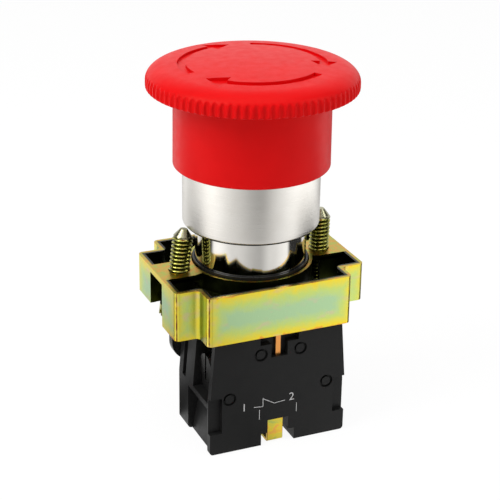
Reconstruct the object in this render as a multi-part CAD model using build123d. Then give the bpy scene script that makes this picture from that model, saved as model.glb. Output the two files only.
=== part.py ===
from build123d import *
import math
import os

# Emergency stop push button for a 22 mm panel hole, in millimetres.
# The axis of the button is Z, and Z = 0 is the front of the panel, where the
# gasket seats. X runs along the mounting base, -Y is the side that shows the
# face of the contact block. The button is up and released.

# Travel, turns and running gaps. Angles are in degrees, and past is how far a
# cutter runs beyond the face that it cuts.
press_travel = 4.3
latch_travel = 0.5
ring_turn = 35.0
run_gap = 0.2
slide_gap = 0.3
seat_gap = 0.05
twist_angle = 45.0
turn_play = 2.0
past = 1.0

# Bezel, barrel and gasket
barrel_radius = 10.8
barrel_wall = 1.8
barrel_bottom = -16.2
core_top = 14.6
core_wall = 1.15
web_bottom = 2.0
web_thickness = 2.0
bezel_wide = 2.4
bezel_wall = 0.8
bezel_lip = 0.9
bezel_top = 15.4
bezel_round = 0.6
gasket_inset = 0.5
gasket_thickness = 0.5
gasket_bevel = 0.8
bayonet_depth = 0.8
bayonet_height = 2.5
bayonet_span = 42.0

# Mushroom cap
cap_radius = 20.0
cap_rim_bottom = 27.0
cap_rim_top = 28.5
cap_edge_round = 0.5
shoulder_width = 4.0
shoulder_height = 2.8
crown_rise = 0.75
cap_roof = 2.7
skirt_gap = 0.3
skirt_wall = 1.5
skirt_draft = 0.1
skirt_bottom = 12.1
skirt_root_round = 1.0
boss_radius = 9.4
boss_bottom = 22.0
knurl_count = 84
knurl_cut_radius = 0.55
knurl_depth = 0.4

# Arrows sunk in the crown
arrow_count = 3
arrow_radius = 13.3
arrow_bar = 1.6
arrow_head = 5.2
arrow_start = -51.0
arrow_sweep = 84.0
arrow_tip = 18.0
arrow_depth = 0.6

# Turning sleeve, spindle and pusher
sleeve_radius = 5.8
spindle_radius = 2.0
spindle_head_wide = 1.4
spindle_head = 1.4
pusher_top = -2.1
pusher_bottom = -12.0
cam_clearance = 1.2
cam_width = 1.8
cam_span = 50.0
cam_drop = 4.6
clip_wide = 1.7
clip_thickness = 0.7
clip_groove = 0.6
clip_opening = 2.0
pin_radius = 1.2
pin_inset = 3.0
pin_rise = 2.6
nose_depth = 0.7
nose_radius = 0.6
latch_core = 0.9
latch_wire = 0.3
latch_turns = 3.0
seal_wide = 1.5
seal_height = 1.7

# Springs of the head
return_wire = 1.0
return_mean = 8.7
return_turns = 5.5
twist_wire = 0.7
twist_mean = 6.9
twist_turns = 3.0
twist_play = 0.3

# Mounting base
plate_top = -7.7
base_wall = 1.1
ear_reach = 4.7
ear_half_width = 10.5
body_overhang = 0.5
body_reach = 2.9
long_leg = 9.83
short_leg = 7.7
bridge_half_width = 3.8
end_slot_half = 3.2
base_corner = 1.0
collar_wall = 0.6
collar_rise = 0.3
collar_depth = 3.7
lip_width = 0.4
lip_height = 0.8
flare_radius = 1.5

# Clamping screws
screw_gap = 0.4
screw_radius = 2.0
screw_tip = 8.3
screw_cone = 1.7
screw_point_radius = 0.7
screw_lean_left = 7.0
screw_lean_right = 1.0
screw_head_radius = 2.9
screw_head_gap = 0.3
screw_head_height = 2.1
screw_slot = 1.0

# Locking ring
ring_gap = 0.1
ring_wall = 0.4
ring_rise = 0.8
ring_flange_lap = 0.9
ring_flange_height = 3.0
lever_gap = 0.7
lever_thickness = 1.8
lever_overhang = 2.7
lever_length = 14.5
lever_round = 4.0

# Contact block housing
block_offset = 0.3
block_half_width = 14.25
block_top_half = 13.2
block_reach = 1.5
block_parting = -8.6
block_back = 2.5
block_gap = 0.2
block_height = 23.7
block_shoulder = 12.9
block_corner = 0.7
housing_wall = 2.0
cavity_half = 8.6
cavity_floor = 6.4
cavity_back = 1.6
inner_wall = 1.2
recess_wall = 1.4
recess_back = -5.0
recess_step_inset = 1.95
recess_step_height = 2.1
ledge = 1.2
groove_near = -1.0
groove_far = 0.6
groove_cut = 1.4
ramp_bottom = 0.7
ramp_top = 2.8
column_near = -2.4
foot_notch_half = 3.5
foot_notch_height = 2.5
clip_notch_half = 2.2
clip_notch_height = 5.3
top_notch_half = 4.0
top_notch_depth = 1.9
tongue_notch_half = 1.7
tongue_notch_depth = 4.8
side_recess_width = 2.5
side_recess_bottom = 4.4
side_recess_height = 7.6
side_recess_depth = 1.0
dowel_radius = 0.9
dowel_ring = 1.35
dowel_ring_depth = 0.5
dowel_length = 9.0
dowel_boss = 1.5
dowel_inset = 0.1
upper_dowel_drop = 3.9
upper_dowels = (-3.8, 4.4)
lower_dowel_drop = 12.2
lower_dowels = (-10.2, 10.2)

# Fixing clip
clip_inset = 1.0
clip_strip = 0.6
clip_play = 0.1
clip_width = 2.8
tongue_width = 1.1
tongue_length = 6.3
hook_reach = 1.2
clip_foot = 1.6

# Contacts, placed from the top of the contact block
contact_y = -6.6
plunger_half = 1.4
cage_half_x = 2.0
cage_half_y = 2.4
cage_wall = 1.0
cage_roof = 1.4
window_half = 1.6
window_rise = 1.0
window_drop = 3.7
bridge_drop = 5.6
bridge_width = 2.6
strip_thickness = 0.6
tip_inset = 1.6
tip_radius = 1.1
tip_thickness = 0.7
strip_width = 3.0
block_wire = 0.35
plunger_spring_mean = 1.6
plunger_spring_turns = 5.0
bridge_spring_mean = 1.05
bridge_spring_turns = 3.5

# Terminals
terminal_drop = 1.7
terminal_screw = 1.5
terminal_head = 2.8
terminal_head_height = 1.5
terminal_plate = 6.0
terminal_plate_thickness = 0.8
terminal_gap = 0.4
terminal_slot = 0.7

# Radii and heights worked out from the values above
barrel_bore = barrel_radius - barrel_wall
bezel_radius = barrel_radius + bezel_wide
core_radius = bezel_radius - bezel_wall - seat_gap
core_bore = core_radius - core_wall
core_bottom = gasket_thickness + bezel_lip
web_top = web_bottom + web_thickness
skirt_bore = bezel_radius + skirt_gap
skirt_radius = skirt_bore + skirt_wall
crown_edge = cap_rim_top + shoulder_height
crown_top = crown_edge + crown_rise
roof = crown_top - cap_roof
sleeve_bottom = pusher_top + seat_gap
sleeve_bore = spindle_radius + run_gap
spindle_top = roof - seat_gap - spindle_head
spindle_head_radius = spindle_radius + spindle_head_wide
pusher_radius = barrel_bore - slide_gap
cam_inner = spindle_radius + cam_clearance
cam_outer = cam_inner + cam_width
clip_bottom = pusher_bottom + clip_thickness
pin_inner = spindle_radius + pin_inset
pin_height = pusher_bottom + pin_rise
ring_inner = barrel_radius + ring_gap
hole_radius = ring_inner + ring_wall + run_gap
collar_outer = hole_radius + collar_wall
collar_bottom = plate_top - collar_depth
ring_flange_radius = hole_radius + ring_flange_lap
ring_flange_top = collar_bottom - run_gap
ring_flange_bottom = ring_flange_top - ring_flange_height
screw_x = ring_flange_radius + screw_radius + screw_gap
ear_half_length = screw_x + ear_reach
body_half_length = block_half_width + body_overhang
body_half_width = collar_outer + body_reach
block_front = -(collar_outer + lip_width + block_reach)
block_top = plate_top - long_leg - block_gap
block_bottom = block_top - block_height
ledge_top = block_top - block_shoulder
cavity_bottom = block_bottom + cavity_floor
recess_inner = cavity_half + inner_wall
recess_step = block_half_width - recess_step_inset
recess_front = block_front + recess_wall
terminal_y = (recess_front + recess_back) / 2
clip_y = block_front + clip_inset
tongue_bottom = block_top - tongue_length
plunger_top = pusher_bottom - seat_gap
bridge_top = block_top - bridge_drop
bridge_bottom = bridge_top - strip_thickness
window_top = bridge_top + window_rise
window_bottom = bridge_top - window_drop
cage_top = window_top + cage_roof
cage_bottom = window_bottom - cage_wall
strip_bottom = bridge_top + 2 * tip_thickness
strip_top = strip_bottom + strip_thickness
strip_outer = recess_inner + strip_thickness
clamp_near = strip_outer + terminal_gap
clamp_far = clamp_near + terminal_plate_thickness
terminal_z = bridge_top - terminal_drop
tip_x = cavity_half - tip_inset


def box(x0, x1, y0, y1, z0, z1):
    return Pos((x0 + x1) / 2, (y0 + y1) / 2, (z0 + z1) / 2) * Box(x1 - x0, y1 - y0, z1 - z0)


def disc(radius, z0, z1):
    return Pos(0, 0, (z0 + z1) / 2) * Cylinder(radius, z1 - z0)


def tube(outer, inner, z0, z1):
    return disc(outer, z0, z1) - disc(inner, z0 - past, z1 + past)


def sector(outer, inner, z0, z1, middle, span):
    """A slice of a tube, span degrees wide, centred on the angle middle."""
    profile = Plane.XZ * Pos((outer + inner) / 2, (z0 + z1) / 2) * Rectangle(outer - inner, z1 - z0)
    return Rot(0, 0, middle - span / 2) * revolve(profile, Axis.Z, span)


def turned(points):
    """A solid turned about Z from a closed outline of radius and height."""
    return revolve(Plane.XZ * make_face(Polyline(*points, close=True)), Axis.Z)


def plate_xz(points, y0, y1):
    """A plate cut to an outline of X and Z, between two depths."""
    face = Plane.XZ * make_face(Polyline(*points, close=True))
    return Pos(0, y1, 0) * extrude(face, y1 - y0)


def coil(mean, wire, turns, z0, z1):
    """A helical spring of round wire whose ends lie within z0 and z1."""
    low = z0 + wire / 2
    rise = z1 - z0 - wire
    path = Pos(0, 0, low) * Helix(rise / turns, rise, mean)
    start = Plane(path @ 0, z_dir=path % 0)
    return sweep(start * Circle(wire / 2), path)


def mushroom_cap():
    """Red cap: crown, knurled rim, skirt and the boss that holds the sleeve."""
    crown_r = cap_radius - shoulder_width
    slope = 2 * crown_rise / crown_r
    mid = (crown_r / 2, crown_edge + crown_rise * 3 / 4)
    skirt_top = skirt_radius - skirt_draft
    root = cap_rim_bottom - skirt_root_round
    edge = cap_edge_round
    outline = [
        ThreePointArc((0, crown_top), mid, (crown_r, crown_edge)),
        Spline((crown_r, crown_edge), (cap_radius, cap_rim_top), tangents=((1, -slope), (0, -1))),
        Line((cap_radius, cap_rim_top), (cap_radius, cap_rim_bottom + edge)),
        RadiusArc((cap_radius, cap_rim_bottom + edge), (cap_radius - edge, cap_rim_bottom), edge),
        Line((cap_radius - edge, cap_rim_bottom), (skirt_top + skirt_root_round, cap_rim_bottom)),
        RadiusArc((skirt_top + skirt_root_round, cap_rim_bottom), (skirt_top, root), -skirt_root_round),
        Line((skirt_top, root), (skirt_radius, skirt_bottom)),
        Line((skirt_radius, skirt_bottom), (skirt_bore, skirt_bottom)),
        Line((skirt_bore, skirt_bottom), (skirt_bore, roof)),
        Line((skirt_bore, roof), (0, roof)),
        Line((0, roof), (0, crown_top)),
    ]
    body = revolve(Plane.XZ * make_face(Wire(outline)), Axis.Z)
    body += tube(boss_radius, sleeve_radius + seat_gap, boss_bottom, roof + seat_gap)
    cutter_x = cap_radius - knurl_depth + knurl_cut_radius
    cutter = Pos(cutter_x, 0, 0) * disc(knurl_cut_radius, cap_rim_bottom - past, crown_edge)
    body -= [Rot(0, 0, 360 * i / knurl_count) * cutter for i in range(knurl_count)]
    return body - [Rot(0, 0, 360 * i / arrow_count) * arrow() for i in range(arrow_count)]


def arrow():
    """Cutter for one curved arrow that points the way the cap turns to release."""
    floor = crown_edge - arrow_depth / 2
    inner = arrow_radius - arrow_bar / 2
    outer = arrow_radius + arrow_bar / 2
    bar = sector(outer, inner, floor, crown_top + past, arrow_start - arrow_sweep / 2, arrow_sweep)
    back = math.radians(arrow_start - arrow_sweep)
    tip = math.radians(arrow_start - arrow_sweep - arrow_tip)
    half = arrow_head / 2
    corners = [
        ((arrow_radius - half) * math.cos(back), (arrow_radius - half) * math.sin(back)),
        ((arrow_radius + half) * math.cos(back), (arrow_radius + half) * math.sin(back)),
        (arrow_radius * math.cos(tip), arrow_radius * math.sin(tip)),
    ]
    head = make_face(Polyline(*corners, close=True))
    return bar + extrude(Pos(0, 0, floor) * head, crown_top + past - floor)


def turn_sleeve():
    """Inner sleeve that turns with the cap and carries two release cams."""
    body = tube(sleeve_radius, sleeve_bore, sleeve_bottom, roof)
    body -= disc(spindle_head_radius + run_gap, spindle_top - seat_gap, roof + past)
    for middle in (0, 180):
        body += sector(cam_outer, cam_inner, sleeve_bottom - cam_drop, sleeve_bottom, middle, cam_span)
    return body


def head_barrel():
    """Polished barrel with its core, guide web, bayonet groove and latch grooves."""
    body = disc(barrel_radius, barrel_bottom, core_bottom) + disc(core_radius, core_bottom, core_top)
    body -= disc(barrel_bore, barrel_bottom - past, web_bottom)
    body -= disc(sleeve_radius + run_gap, web_bottom - past, web_top + past)
    body -= disc(core_bore, web_top, core_top + past)
    groove_top = ring_flange_top - seat_gap
    groove_bottom = groove_top - bayonet_height
    body -= tube(barrel_radius + past, barrel_radius - bayonet_depth, groove_bottom, groove_top)
    entry = barrel_radius - bayonet_depth
    span = bayonet_span + 2 * turn_play
    for middle in (0, 180):
        way = middle - ring_turn
        body -= sector(barrel_radius + past, entry, barrel_bottom - past, groove_bottom, way, span)
    depth = slide_gap + latch_travel
    for drop in (0, press_travel):
        z = pin_height - drop
        low = z - pin_radius - run_gap
        high = z + pin_radius + run_gap
        deep = pusher_radius + depth
        shallow = barrel_bore - past
        body -= turned([(shallow, low - depth), (deep, low), (deep, high), (shallow, high + depth)])
    return body


def bezel_ring():
    """Satin sleeve over the core, with a turned-in lip on the gasket."""
    body = disc(bezel_radius, gasket_thickness, bezel_top)
    body = fillet(body.edges().filter_by(GeomType.CIRCLE), bezel_round)
    body -= disc(bezel_radius - bezel_wall, core_bottom, bezel_top + past)
    return body - disc(barrel_radius + seat_gap, gasket_thickness - past, core_bottom + past)


def panel_gasket():
    """Flat gasket, bevelled below so that it bears close to the hole."""
    outer = bezel_radius - gasket_inset
    return turned([
        (barrel_radius + seat_gap, 0),
        (outer - gasket_bevel, 0),
        (outer, gasket_thickness / 2),
        (outer, gasket_thickness),
        (barrel_radius + seat_gap, gasket_thickness),
    ])


def spindle():
    """Steel spindle: head in the sleeve, shank, and a groove for its clip."""
    bottom = pusher_bottom + seat_gap
    body = disc(spindle_radius, bottom, spindle_top)
    body += disc(spindle_head_radius, spindle_top, spindle_top + spindle_head)
    root = spindle_radius - clip_groove
    return body - tube(spindle_radius + past, root, clip_bottom, clip_bottom + clip_thickness)


def spindle_clip():
    """Retaining clip in the spindle's groove, open to one side."""
    inner = spindle_radius - clip_groove + seat_gap
    outer = spindle_radius + clip_wide
    top = clip_bottom + clip_thickness
    half = clip_opening / 2
    gap = box(0, outer + past, -half, half, clip_bottom - past, top + past)
    return tube(outer, inner, clip_bottom, top) - gap


def pusher():
    """Plunger that slides in the barrel, with cam pockets and latch bores."""
    body = disc(pusher_radius, pusher_bottom, pusher_top)
    body -= disc(spindle_radius + seat_gap, pusher_bottom - past, pusher_top + past)
    pocket = sleeve_bottom - cam_drop - run_gap
    span = cam_span + twist_angle + 2 * turn_play
    for middle in (0, 180):
        start = middle - twist_angle / 2
        body -= sector(cam_outer + run_gap, cam_inner - run_gap, pocket, pusher_top + past, start, span)
    body -= disc(spindle_radius + clip_wide + run_gap, pusher_bottom - past, clip_bottom + clip_thickness)
    bore = Rot(0, 90, 0) * Cylinder(pin_radius + seat_gap, 2 * (pusher_radius + past))
    core = disc(spindle_radius + latch_core, pusher_bottom, pusher_top)
    return body - (Pos(0, 0, pin_height) * bore - core)


def latch_pin(side):
    """Round latch pin with a domed nose, pointing outward along X."""
    pin = turned([
        (0, pin_inner),
        (pin_radius, pin_inner),
        (pin_radius, pusher_radius - nose_depth),
        (nose_radius, pusher_radius),
        (0, pusher_radius),
    ])
    return Pos(0, 0, pin_height) * Rot(0, 90 * side, 0) * pin


def latch_springs():
    """Two small springs that push the latch pins out from the pusher's core."""
    start = spindle_radius + latch_core
    spring = coil(pin_radius - latch_wire, latch_wire, latch_turns, start, pin_inner)
    return [Pos(0, 0, pin_height) * Rot(0, 90 * side, 0) * spring for side in (1, -1)]


def at_waist(corner, x, y):
    """True for the inner corners of the outline, where the ears meet the body."""
    return abs(abs(corner.X) - x) < seat_gap and abs(abs(corner.Y) - y) < seat_gap


def plus_outline(inset):
    """Base outline: a rectangle with narrower ears at both ends."""
    x = body_half_length - inset
    y = ear_half_width - inset
    wide = Rectangle(2 * x, 2 * (body_half_width - inset))
    outline = wide + Rectangle(2 * (ear_half_length - inset), 2 * y)
    outer = [v for v in outline.vertices() if not at_waist(v, x, y)]
    outline = fillet(outer, max(base_corner - inset, seat_gap))
    inner = [v for v in outline.vertices() if at_waist(v, x, y)]
    return fillet(inner, base_corner + inset / 2)


def tapped_hole(side, lean):
    """Hole of one clamping screw, along the screw's own line."""
    hole = Cylinder(screw_radius + seat_gap, 4 * base_wall)
    return Pos(side * screw_x, 0, plate_top) * Rot(0, lean, 0) * hole


def mounting_base():
    """Plated base: ribbon of wall, bridge with two tapped holes, drawn collar."""
    wall = extrude(plus_outline(0), -long_leg) - extrude(plus_outline(base_wall), -long_leg)
    for sx, sy in ((-1, 1), (1, -1)):
        x0, x1 = sorted((sx * body_half_length, sx * (ear_half_length + past)))
        y0, y1 = sorted((0, sy * (ear_half_width + past)))
        wall -= box(x0, x1, y0, y1, -long_leg - past, -short_leg)
    reach = ear_half_length + past
    strip = box(-reach, reach, -bridge_half_width, bridge_half_width, -long_leg, past)
    bridge = extrude(plus_outline(base_wall / 2), -base_wall) & strip
    slot = box(-reach, reach, -end_slot_half, end_slot_half, -long_leg - past, -base_wall)
    body = wall - slot + bridge
    collar = turned([
        (barrel_radius, collar_rise),
        (collar_outer, collar_rise),
        (collar_outer, -collar_depth + lip_height),
        (collar_outer + lip_width, -collar_depth + lip_height),
        (collar_outer + lip_width, -collar_depth),
        (barrel_radius, -collar_depth),
    ])
    flare = turned([
        (hole_radius, collar_rise),
        (collar_outer, collar_rise),
        (collar_outer + flare_radius, 0),
        (collar_outer + flare_radius, -base_wall / 2),
        (hole_radius, -base_wall / 2),
    ])
    body = body + collar + (flare & strip)
    body -= disc(hole_radius, -long_leg - past, collar_rise + past)
    body = Pos(0, 0, plate_top) * body
    return body - tapped_hole(-1, screw_lean_left) - tapped_hole(1, screw_lean_right)


def clamp_screw(side, lean):
    """Clamping screw, tip up, that presses on the back of the panel."""
    top = screw_tip
    head = ring_flange_bottom - screw_head_gap - plate_top
    foot = head - screw_head_height
    body = turned([
        (0, top),
        (screw_point_radius, top),
        (screw_radius, top - screw_cone),
        (screw_radius, head),
        (screw_head_radius, head),
        (screw_head_radius, foot),
        (0, foot),
    ])
    reach = screw_head_radius + past
    body -= box(-reach, reach, -screw_slot / 2, screw_slot / 2, foot - past, foot + screw_slot)
    return Pos(side * screw_x, 0, plate_top) * Rot(0, lean, 0) * body


def locking_ring():
    """Black ring that locks the barrel in the base, with a thumb lever."""
    body = tube(ring_inner + ring_wall, ring_inner, ring_flange_bottom, plate_top + ring_rise)
    body += tube(ring_flange_radius, ring_inner, ring_flange_bottom, ring_flange_top)
    lug_in = barrel_radius - bayonet_depth + run_gap
    lug_top = ring_flange_top - run_gap
    lug_bottom = lug_top - bayonet_height + 2 * run_gap
    for middle in (0, 180):
        body += sector(ring_inner + ring_wall, lug_in, lug_bottom, lug_top, middle, bayonet_span)
    bottom = ring_flange_bottom - lever_length
    near = block_back + lever_gap
    reach = ring_flange_radius + lever_overhang
    lever = box(-reach, -ring_inner, near, near + lever_thickness, bottom, ring_flange_top)
    edges = lever.edges().filter_by(Axis.Y).group_by(Axis.Z)[0]
    lever = fillet(edges.sort_by(Axis.X)[0], lever_round)
    return body + lever


def block_outline(grow):
    """Outline of the contact block in X and Z, narrower towards the top."""
    half = block_half_width + grow
    top = block_top_half + grow
    return [
        (-half, block_bottom),
        (half, block_bottom),
        (half, ledge_top),
        (top, block_top),
        (-top, block_top),
        (-half, ledge_top),
    ]


def notches(y0, y1):
    """Stepped notch at the foot of the block, right through it."""
    low = block_bottom - past
    wide = box(-foot_notch_half, foot_notch_half, y0, y1, low, block_bottom + foot_notch_height)
    return wide + box(-clip_notch_half, clip_notch_half, y0, y1, low, block_bottom + clip_notch_height)


def cavity():
    """Room for the contacts, less the bosses round the two upper dowels."""
    y0 = block_front + housing_wall
    y1 = block_back - cavity_back
    room = box(-cavity_half, cavity_half, y0, y1, cavity_bottom, block_top - housing_wall)
    for x, z in dowel_places()[:2]:
        room -= along_y(dowel_boss, x, z, y0 - past, y1 + past)
    return room


def end_recesses():
    """Terminal recess, ribs and wire ramp at both ends of the block."""
    cuts = []
    for side in (-1, 1):
        step = ledge_top + recess_step_height
        x0, x1 = sorted((side * recess_inner, side * (block_half_width + past)))
        piece = box(x0, x1, recess_front, recess_back, step, block_top + past)
        x0, x1 = sorted((side * recess_step, side * (block_half_width + past)))
        piece += box(x0, x1, recess_front, recess_back, ledge_top, step + past)
        rib0, rib1 = sorted((side * (block_top_half - groove_cut), side * (block_half_width + past)))
        piece += box(rib0, rib1, groove_near, groove_far, ledge_top, block_top + past)
        outer = side * (block_half_width + past)
        low = side * (block_half_width - ramp_bottom)
        high = side * (block_half_width - ramp_top)
        foot = block_bottom - past
        under = ledge_top - ledge
        ramp = [(outer, foot), (low, foot), (high, under), (outer, under)]
        piece += plate_xz(ramp, recess_front, column_near)
        slot0, slot1 = sorted((side * (cavity_half - past), side * (recess_inner + past)))
        y0 = contact_y - strip_width / 2 - seat_gap
        y1 = contact_y + strip_width / 2 + seat_gap
        piece += box(slot0, slot1, y0, y1, strip_bottom - seat_gap, strip_top + seat_gap)
        cuts.append(piece)
    return cuts[0] + cuts[1]


def dowel_places():
    """Centres of the four dowels in X and Z."""
    upper = [(x, block_top - upper_dowel_drop) for x in upper_dowels]
    return upper + [(x, block_top - lower_dowel_drop) for x in lower_dowels]


def along_y(radius, x, z, y0, y1):
    return Pos(x, (y0 + y1) / 2, z) * Rot(90, 0, 0) * Cylinder(radius, y1 - y0)


def clip_channel():
    """Channel in the front half for the fixing clip."""
    half = clip_width / 2 + clip_play
    y0 = clip_y - clip_strip / 2 - clip_play
    y1 = clip_y + clip_strip / 2 + clip_play
    cut = box(-half, half, y0, y1, block_bottom - past, tongue_bottom + clip_play)
    half = tongue_width / 2 + clip_play
    return cut + box(-half, half, y0, y1, tongue_bottom - past, block_top + past)


def rounded_plate(y0, y1):
    """The block's outline as a solid with its four outer corners rounded."""
    plate = plate_xz(block_outline(0), y0, y1)
    edges = plate.edges().filter_by(Axis.Y)
    low = edges.group_by(Axis.Z)[0]
    high = edges.group_by(Axis.Z)[-1]
    return fillet(low + high, block_corner)


def housing_front():
    """Front half: the face with its notches, dowel rings and side recesses."""
    body = rounded_plate(block_front, block_parting)
    body -= cavity() + end_recesses() + notches(block_front - past, block_parting + past)
    y0 = block_front - past
    y1 = clip_y + clip_strip / 2 + clip_play
    high = block_top + past
    body -= box(-top_notch_half, top_notch_half, y0, y1, block_top - top_notch_depth, high)
    body -= box(-tongue_notch_half, tongue_notch_half, y0, y1, block_top - tongue_notch_depth, high)
    body -= clip_channel()
    low = block_bottom + side_recess_bottom
    for side in (-1, 1):
        x0, x1 = sorted((side * (block_half_width - side_recess_width), side * (block_half_width + past)))
        body -= box(x0, x1, y0, block_front + side_recess_depth, low, low + side_recess_height)
    for x, z in dowel_places():
        body -= along_y(dowel_radius + seat_gap, x, z, y0, block_parting + past)
        body -= along_y(dowel_ring, x, z, y0, block_front + dowel_ring_depth)
    return body


def housing_rear():
    """Rear half: the deeper shell that carries the contacts and the springs."""
    body = rounded_plate(block_parting, block_back)
    body -= cavity() + end_recesses() + notches(block_parting - past, block_back + past)
    half = plunger_half + run_gap
    low = block_top - housing_wall - past
    body -= box(-half, half, contact_y - half, contact_y + half, low, block_top + past)
    end = block_front + dowel_length + seat_gap
    for x, z in dowel_places():
        body -= along_y(dowel_radius + seat_gap, x, z, block_parting - past, end)
    return body


def dowels():
    """Four moulded dowels that hold the two halves together."""
    y0 = block_front + dowel_inset
    return [along_y(dowel_radius, x, z, y0, block_front + dowel_length) for x, z in dowel_places()]


def fixing_clip():
    """Plated strip: tongue hooked over the collar's lip, foot to prise it off."""
    y0 = clip_y - clip_strip / 2
    y1 = clip_y + clip_strip / 2
    hook_bottom = collar_bottom + lip_height + seat_gap
    hook_top = hook_bottom + clip_strip
    foot = block_bottom + clip_strip
    half = clip_width / 2
    body = box(-half, half, y0, y1, foot, tongue_bottom)
    half = tongue_width / 2
    body += box(-half, half, y0, y1, tongue_bottom - past, hook_top)
    body += box(-half, half, y0, y0 + hook_reach, hook_bottom, hook_top)
    half = clip_width / 2
    body += box(-half, half, y0, y0 + clip_foot, foot - clip_strip, foot)
    bend = body.edges().filter_by(Axis.X).group_by(Axis.Z)[0].sort_by(Axis.Y)[0]
    return fillet(bend, clip_strip)


def contact_plunger():
    """Plunger of the contact block with its cage for the moving bridge."""
    half = plunger_half
    body = box(-half, half, contact_y - half, contact_y + half, window_top, plunger_top)
    near = contact_y - cage_half_y
    far = contact_y + cage_half_y
    body += box(-cage_half_x, cage_half_x, near, far, cage_bottom, cage_top)
    x = cage_half_x + past
    return body - box(-x, x, contact_y - window_half, contact_y + window_half, window_bottom, window_top)


def contact_bridge():
    """Moving bridge, held up against the fixed tips while the button is out."""
    y0 = contact_y - bridge_width / 2
    y1 = contact_y + bridge_width / 2
    reach = tip_x + tip_radius
    return box(-reach, reach, y0, y1, bridge_bottom, bridge_top)


def contact_tips(z0):
    """A pair of round silver tips."""
    return [Pos(side * tip_x, contact_y, 0) * disc(tip_radius, z0, z0 + tip_thickness) for side in (-1, 1)]


def fixed_contact(side):
    """Fixed contact strip, from its tip out to the terminal plate."""
    y0 = contact_y - strip_width / 2
    y1 = contact_y + strip_width / 2
    x0, x1 = sorted((side * (tip_x - tip_radius), side * strip_outer))
    body = box(x0, x1, y0, y1, strip_bottom, strip_top)
    x0, x1 = sorted((side * recess_inner, side * strip_outer))
    half = terminal_plate / 2
    body += box(x0, x1, terminal_y - half, terminal_y + half, terminal_z - half, strip_top)
    return body - terminal_hole(side, terminal_screw + run_gap)


def terminal_hole(side, radius):
    """Cutter for the terminal screw's hole at one end of the block."""
    return Pos(side * strip_outer, terminal_y, terminal_z) * Rot(0, 90, 0) * Cylinder(radius, terminal_plate)


def terminal_clamp(side):
    """Square clamp plate that grips the wire under the screw's head."""
    x0, x1 = sorted((side * clamp_near, side * clamp_far))
    half = terminal_plate / 2
    body = box(x0, x1, terminal_y - half, terminal_y + half, terminal_z - half, terminal_z + half)
    return body - terminal_hole(side, terminal_screw + seat_gap)


def terminal_screw_part(side):
    """Terminal screw through clamp and strip, with its slotted head outward."""
    top = clamp_far + terminal_head_height
    body = turned([
        (0, recess_inner),
        (terminal_screw, recess_inner),
        (terminal_screw, clamp_far),
        (terminal_head, clamp_far),
        (terminal_head, top),
        (0, top),
    ])
    reach = terminal_head + past
    body -= box(-reach, reach, -terminal_slot / 2, terminal_slot / 2, top - terminal_slot, top + past)
    return Pos(0, terminal_y, terminal_z) * Rot(0, 90 * side, 0) * body


def on_block(shape):
    """Moves a piece of the contact block to where the block hangs."""
    if isinstance(shape, (list, tuple)):
        return Compound(children=[Pos(block_offset, 0, 0) * piece for piece in shape])
    return Pos(block_offset, 0, 0) * shape


def grouped(pieces):
    return Compound(children=list(pieces))


plunger_axis = Pos(0, contact_y, 0)
parts = {
    "mushroom_cap": mushroom_cap(),
    "turn_sleeve": turn_sleeve(),
    "spindle": spindle(),
    "spindle_clip": spindle_clip(),
    "pusher": pusher(),
    "latch_pin_left": latch_pin(-1),
    "latch_pin_right": latch_pin(1),
    "latch_springs": grouped(latch_springs()),
    "return_spring": coil(return_mean, return_wire, return_turns, web_top, boss_bottom),
    "twist_spring": coil(twist_mean, twist_wire, twist_turns, pusher_top, web_bottom - twist_play),
    "sleeve_seal": tube(sleeve_radius + seal_wide, sleeve_radius + run_gap, web_top, web_top + seal_height),
    "head_barrel": head_barrel(),
    "bezel_ring": bezel_ring(),
    "panel_gasket": panel_gasket(),
    "mounting_base": mounting_base(),
    "clamp_screw_left": clamp_screw(-1, screw_lean_left),
    "clamp_screw_right": clamp_screw(1, screw_lean_right),
    "locking_ring": locking_ring(),
    "housing_front": on_block(housing_front()),
    "housing_rear": on_block(housing_rear()),
    "housing_dowels": on_block(dowels()),
    "fixing_clip": on_block(fixing_clip()),
    "contact_plunger": on_block(contact_plunger()),
    "plunger_spring": on_block(
        plunger_axis * coil(plunger_spring_mean, block_wire, plunger_spring_turns, cavity_bottom, cage_bottom)
    ),
    "contact_bridge": on_block(contact_bridge()),
    "bridge_tips": on_block(contact_tips(bridge_top)),
    "bridge_spring": on_block(
        plunger_axis * coil(bridge_spring_mean, block_wire, bridge_spring_turns, window_bottom, bridge_bottom)
    ),
    "fixed_contact_left": on_block(fixed_contact(-1)),
    "fixed_contact_right": on_block(fixed_contact(1)),
    "fixed_tips": on_block(contact_tips(bridge_top + tip_thickness)),
    "terminal_clamp_left": on_block(terminal_clamp(-1)),
    "terminal_clamp_right": on_block(terminal_clamp(1)),
    "terminal_screw_left": on_block(terminal_screw_part(-1)),
    "terminal_screw_right": on_block(terminal_screw_part(1)),
}

os.makedirs("parts", exist_ok=True)
for name, shape in parts.items():
    export_step(shape, f"parts/{name}.step")
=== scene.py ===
import functools
import math

import bmesh
import bpy
from mathutils import Matrix, Vector


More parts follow.
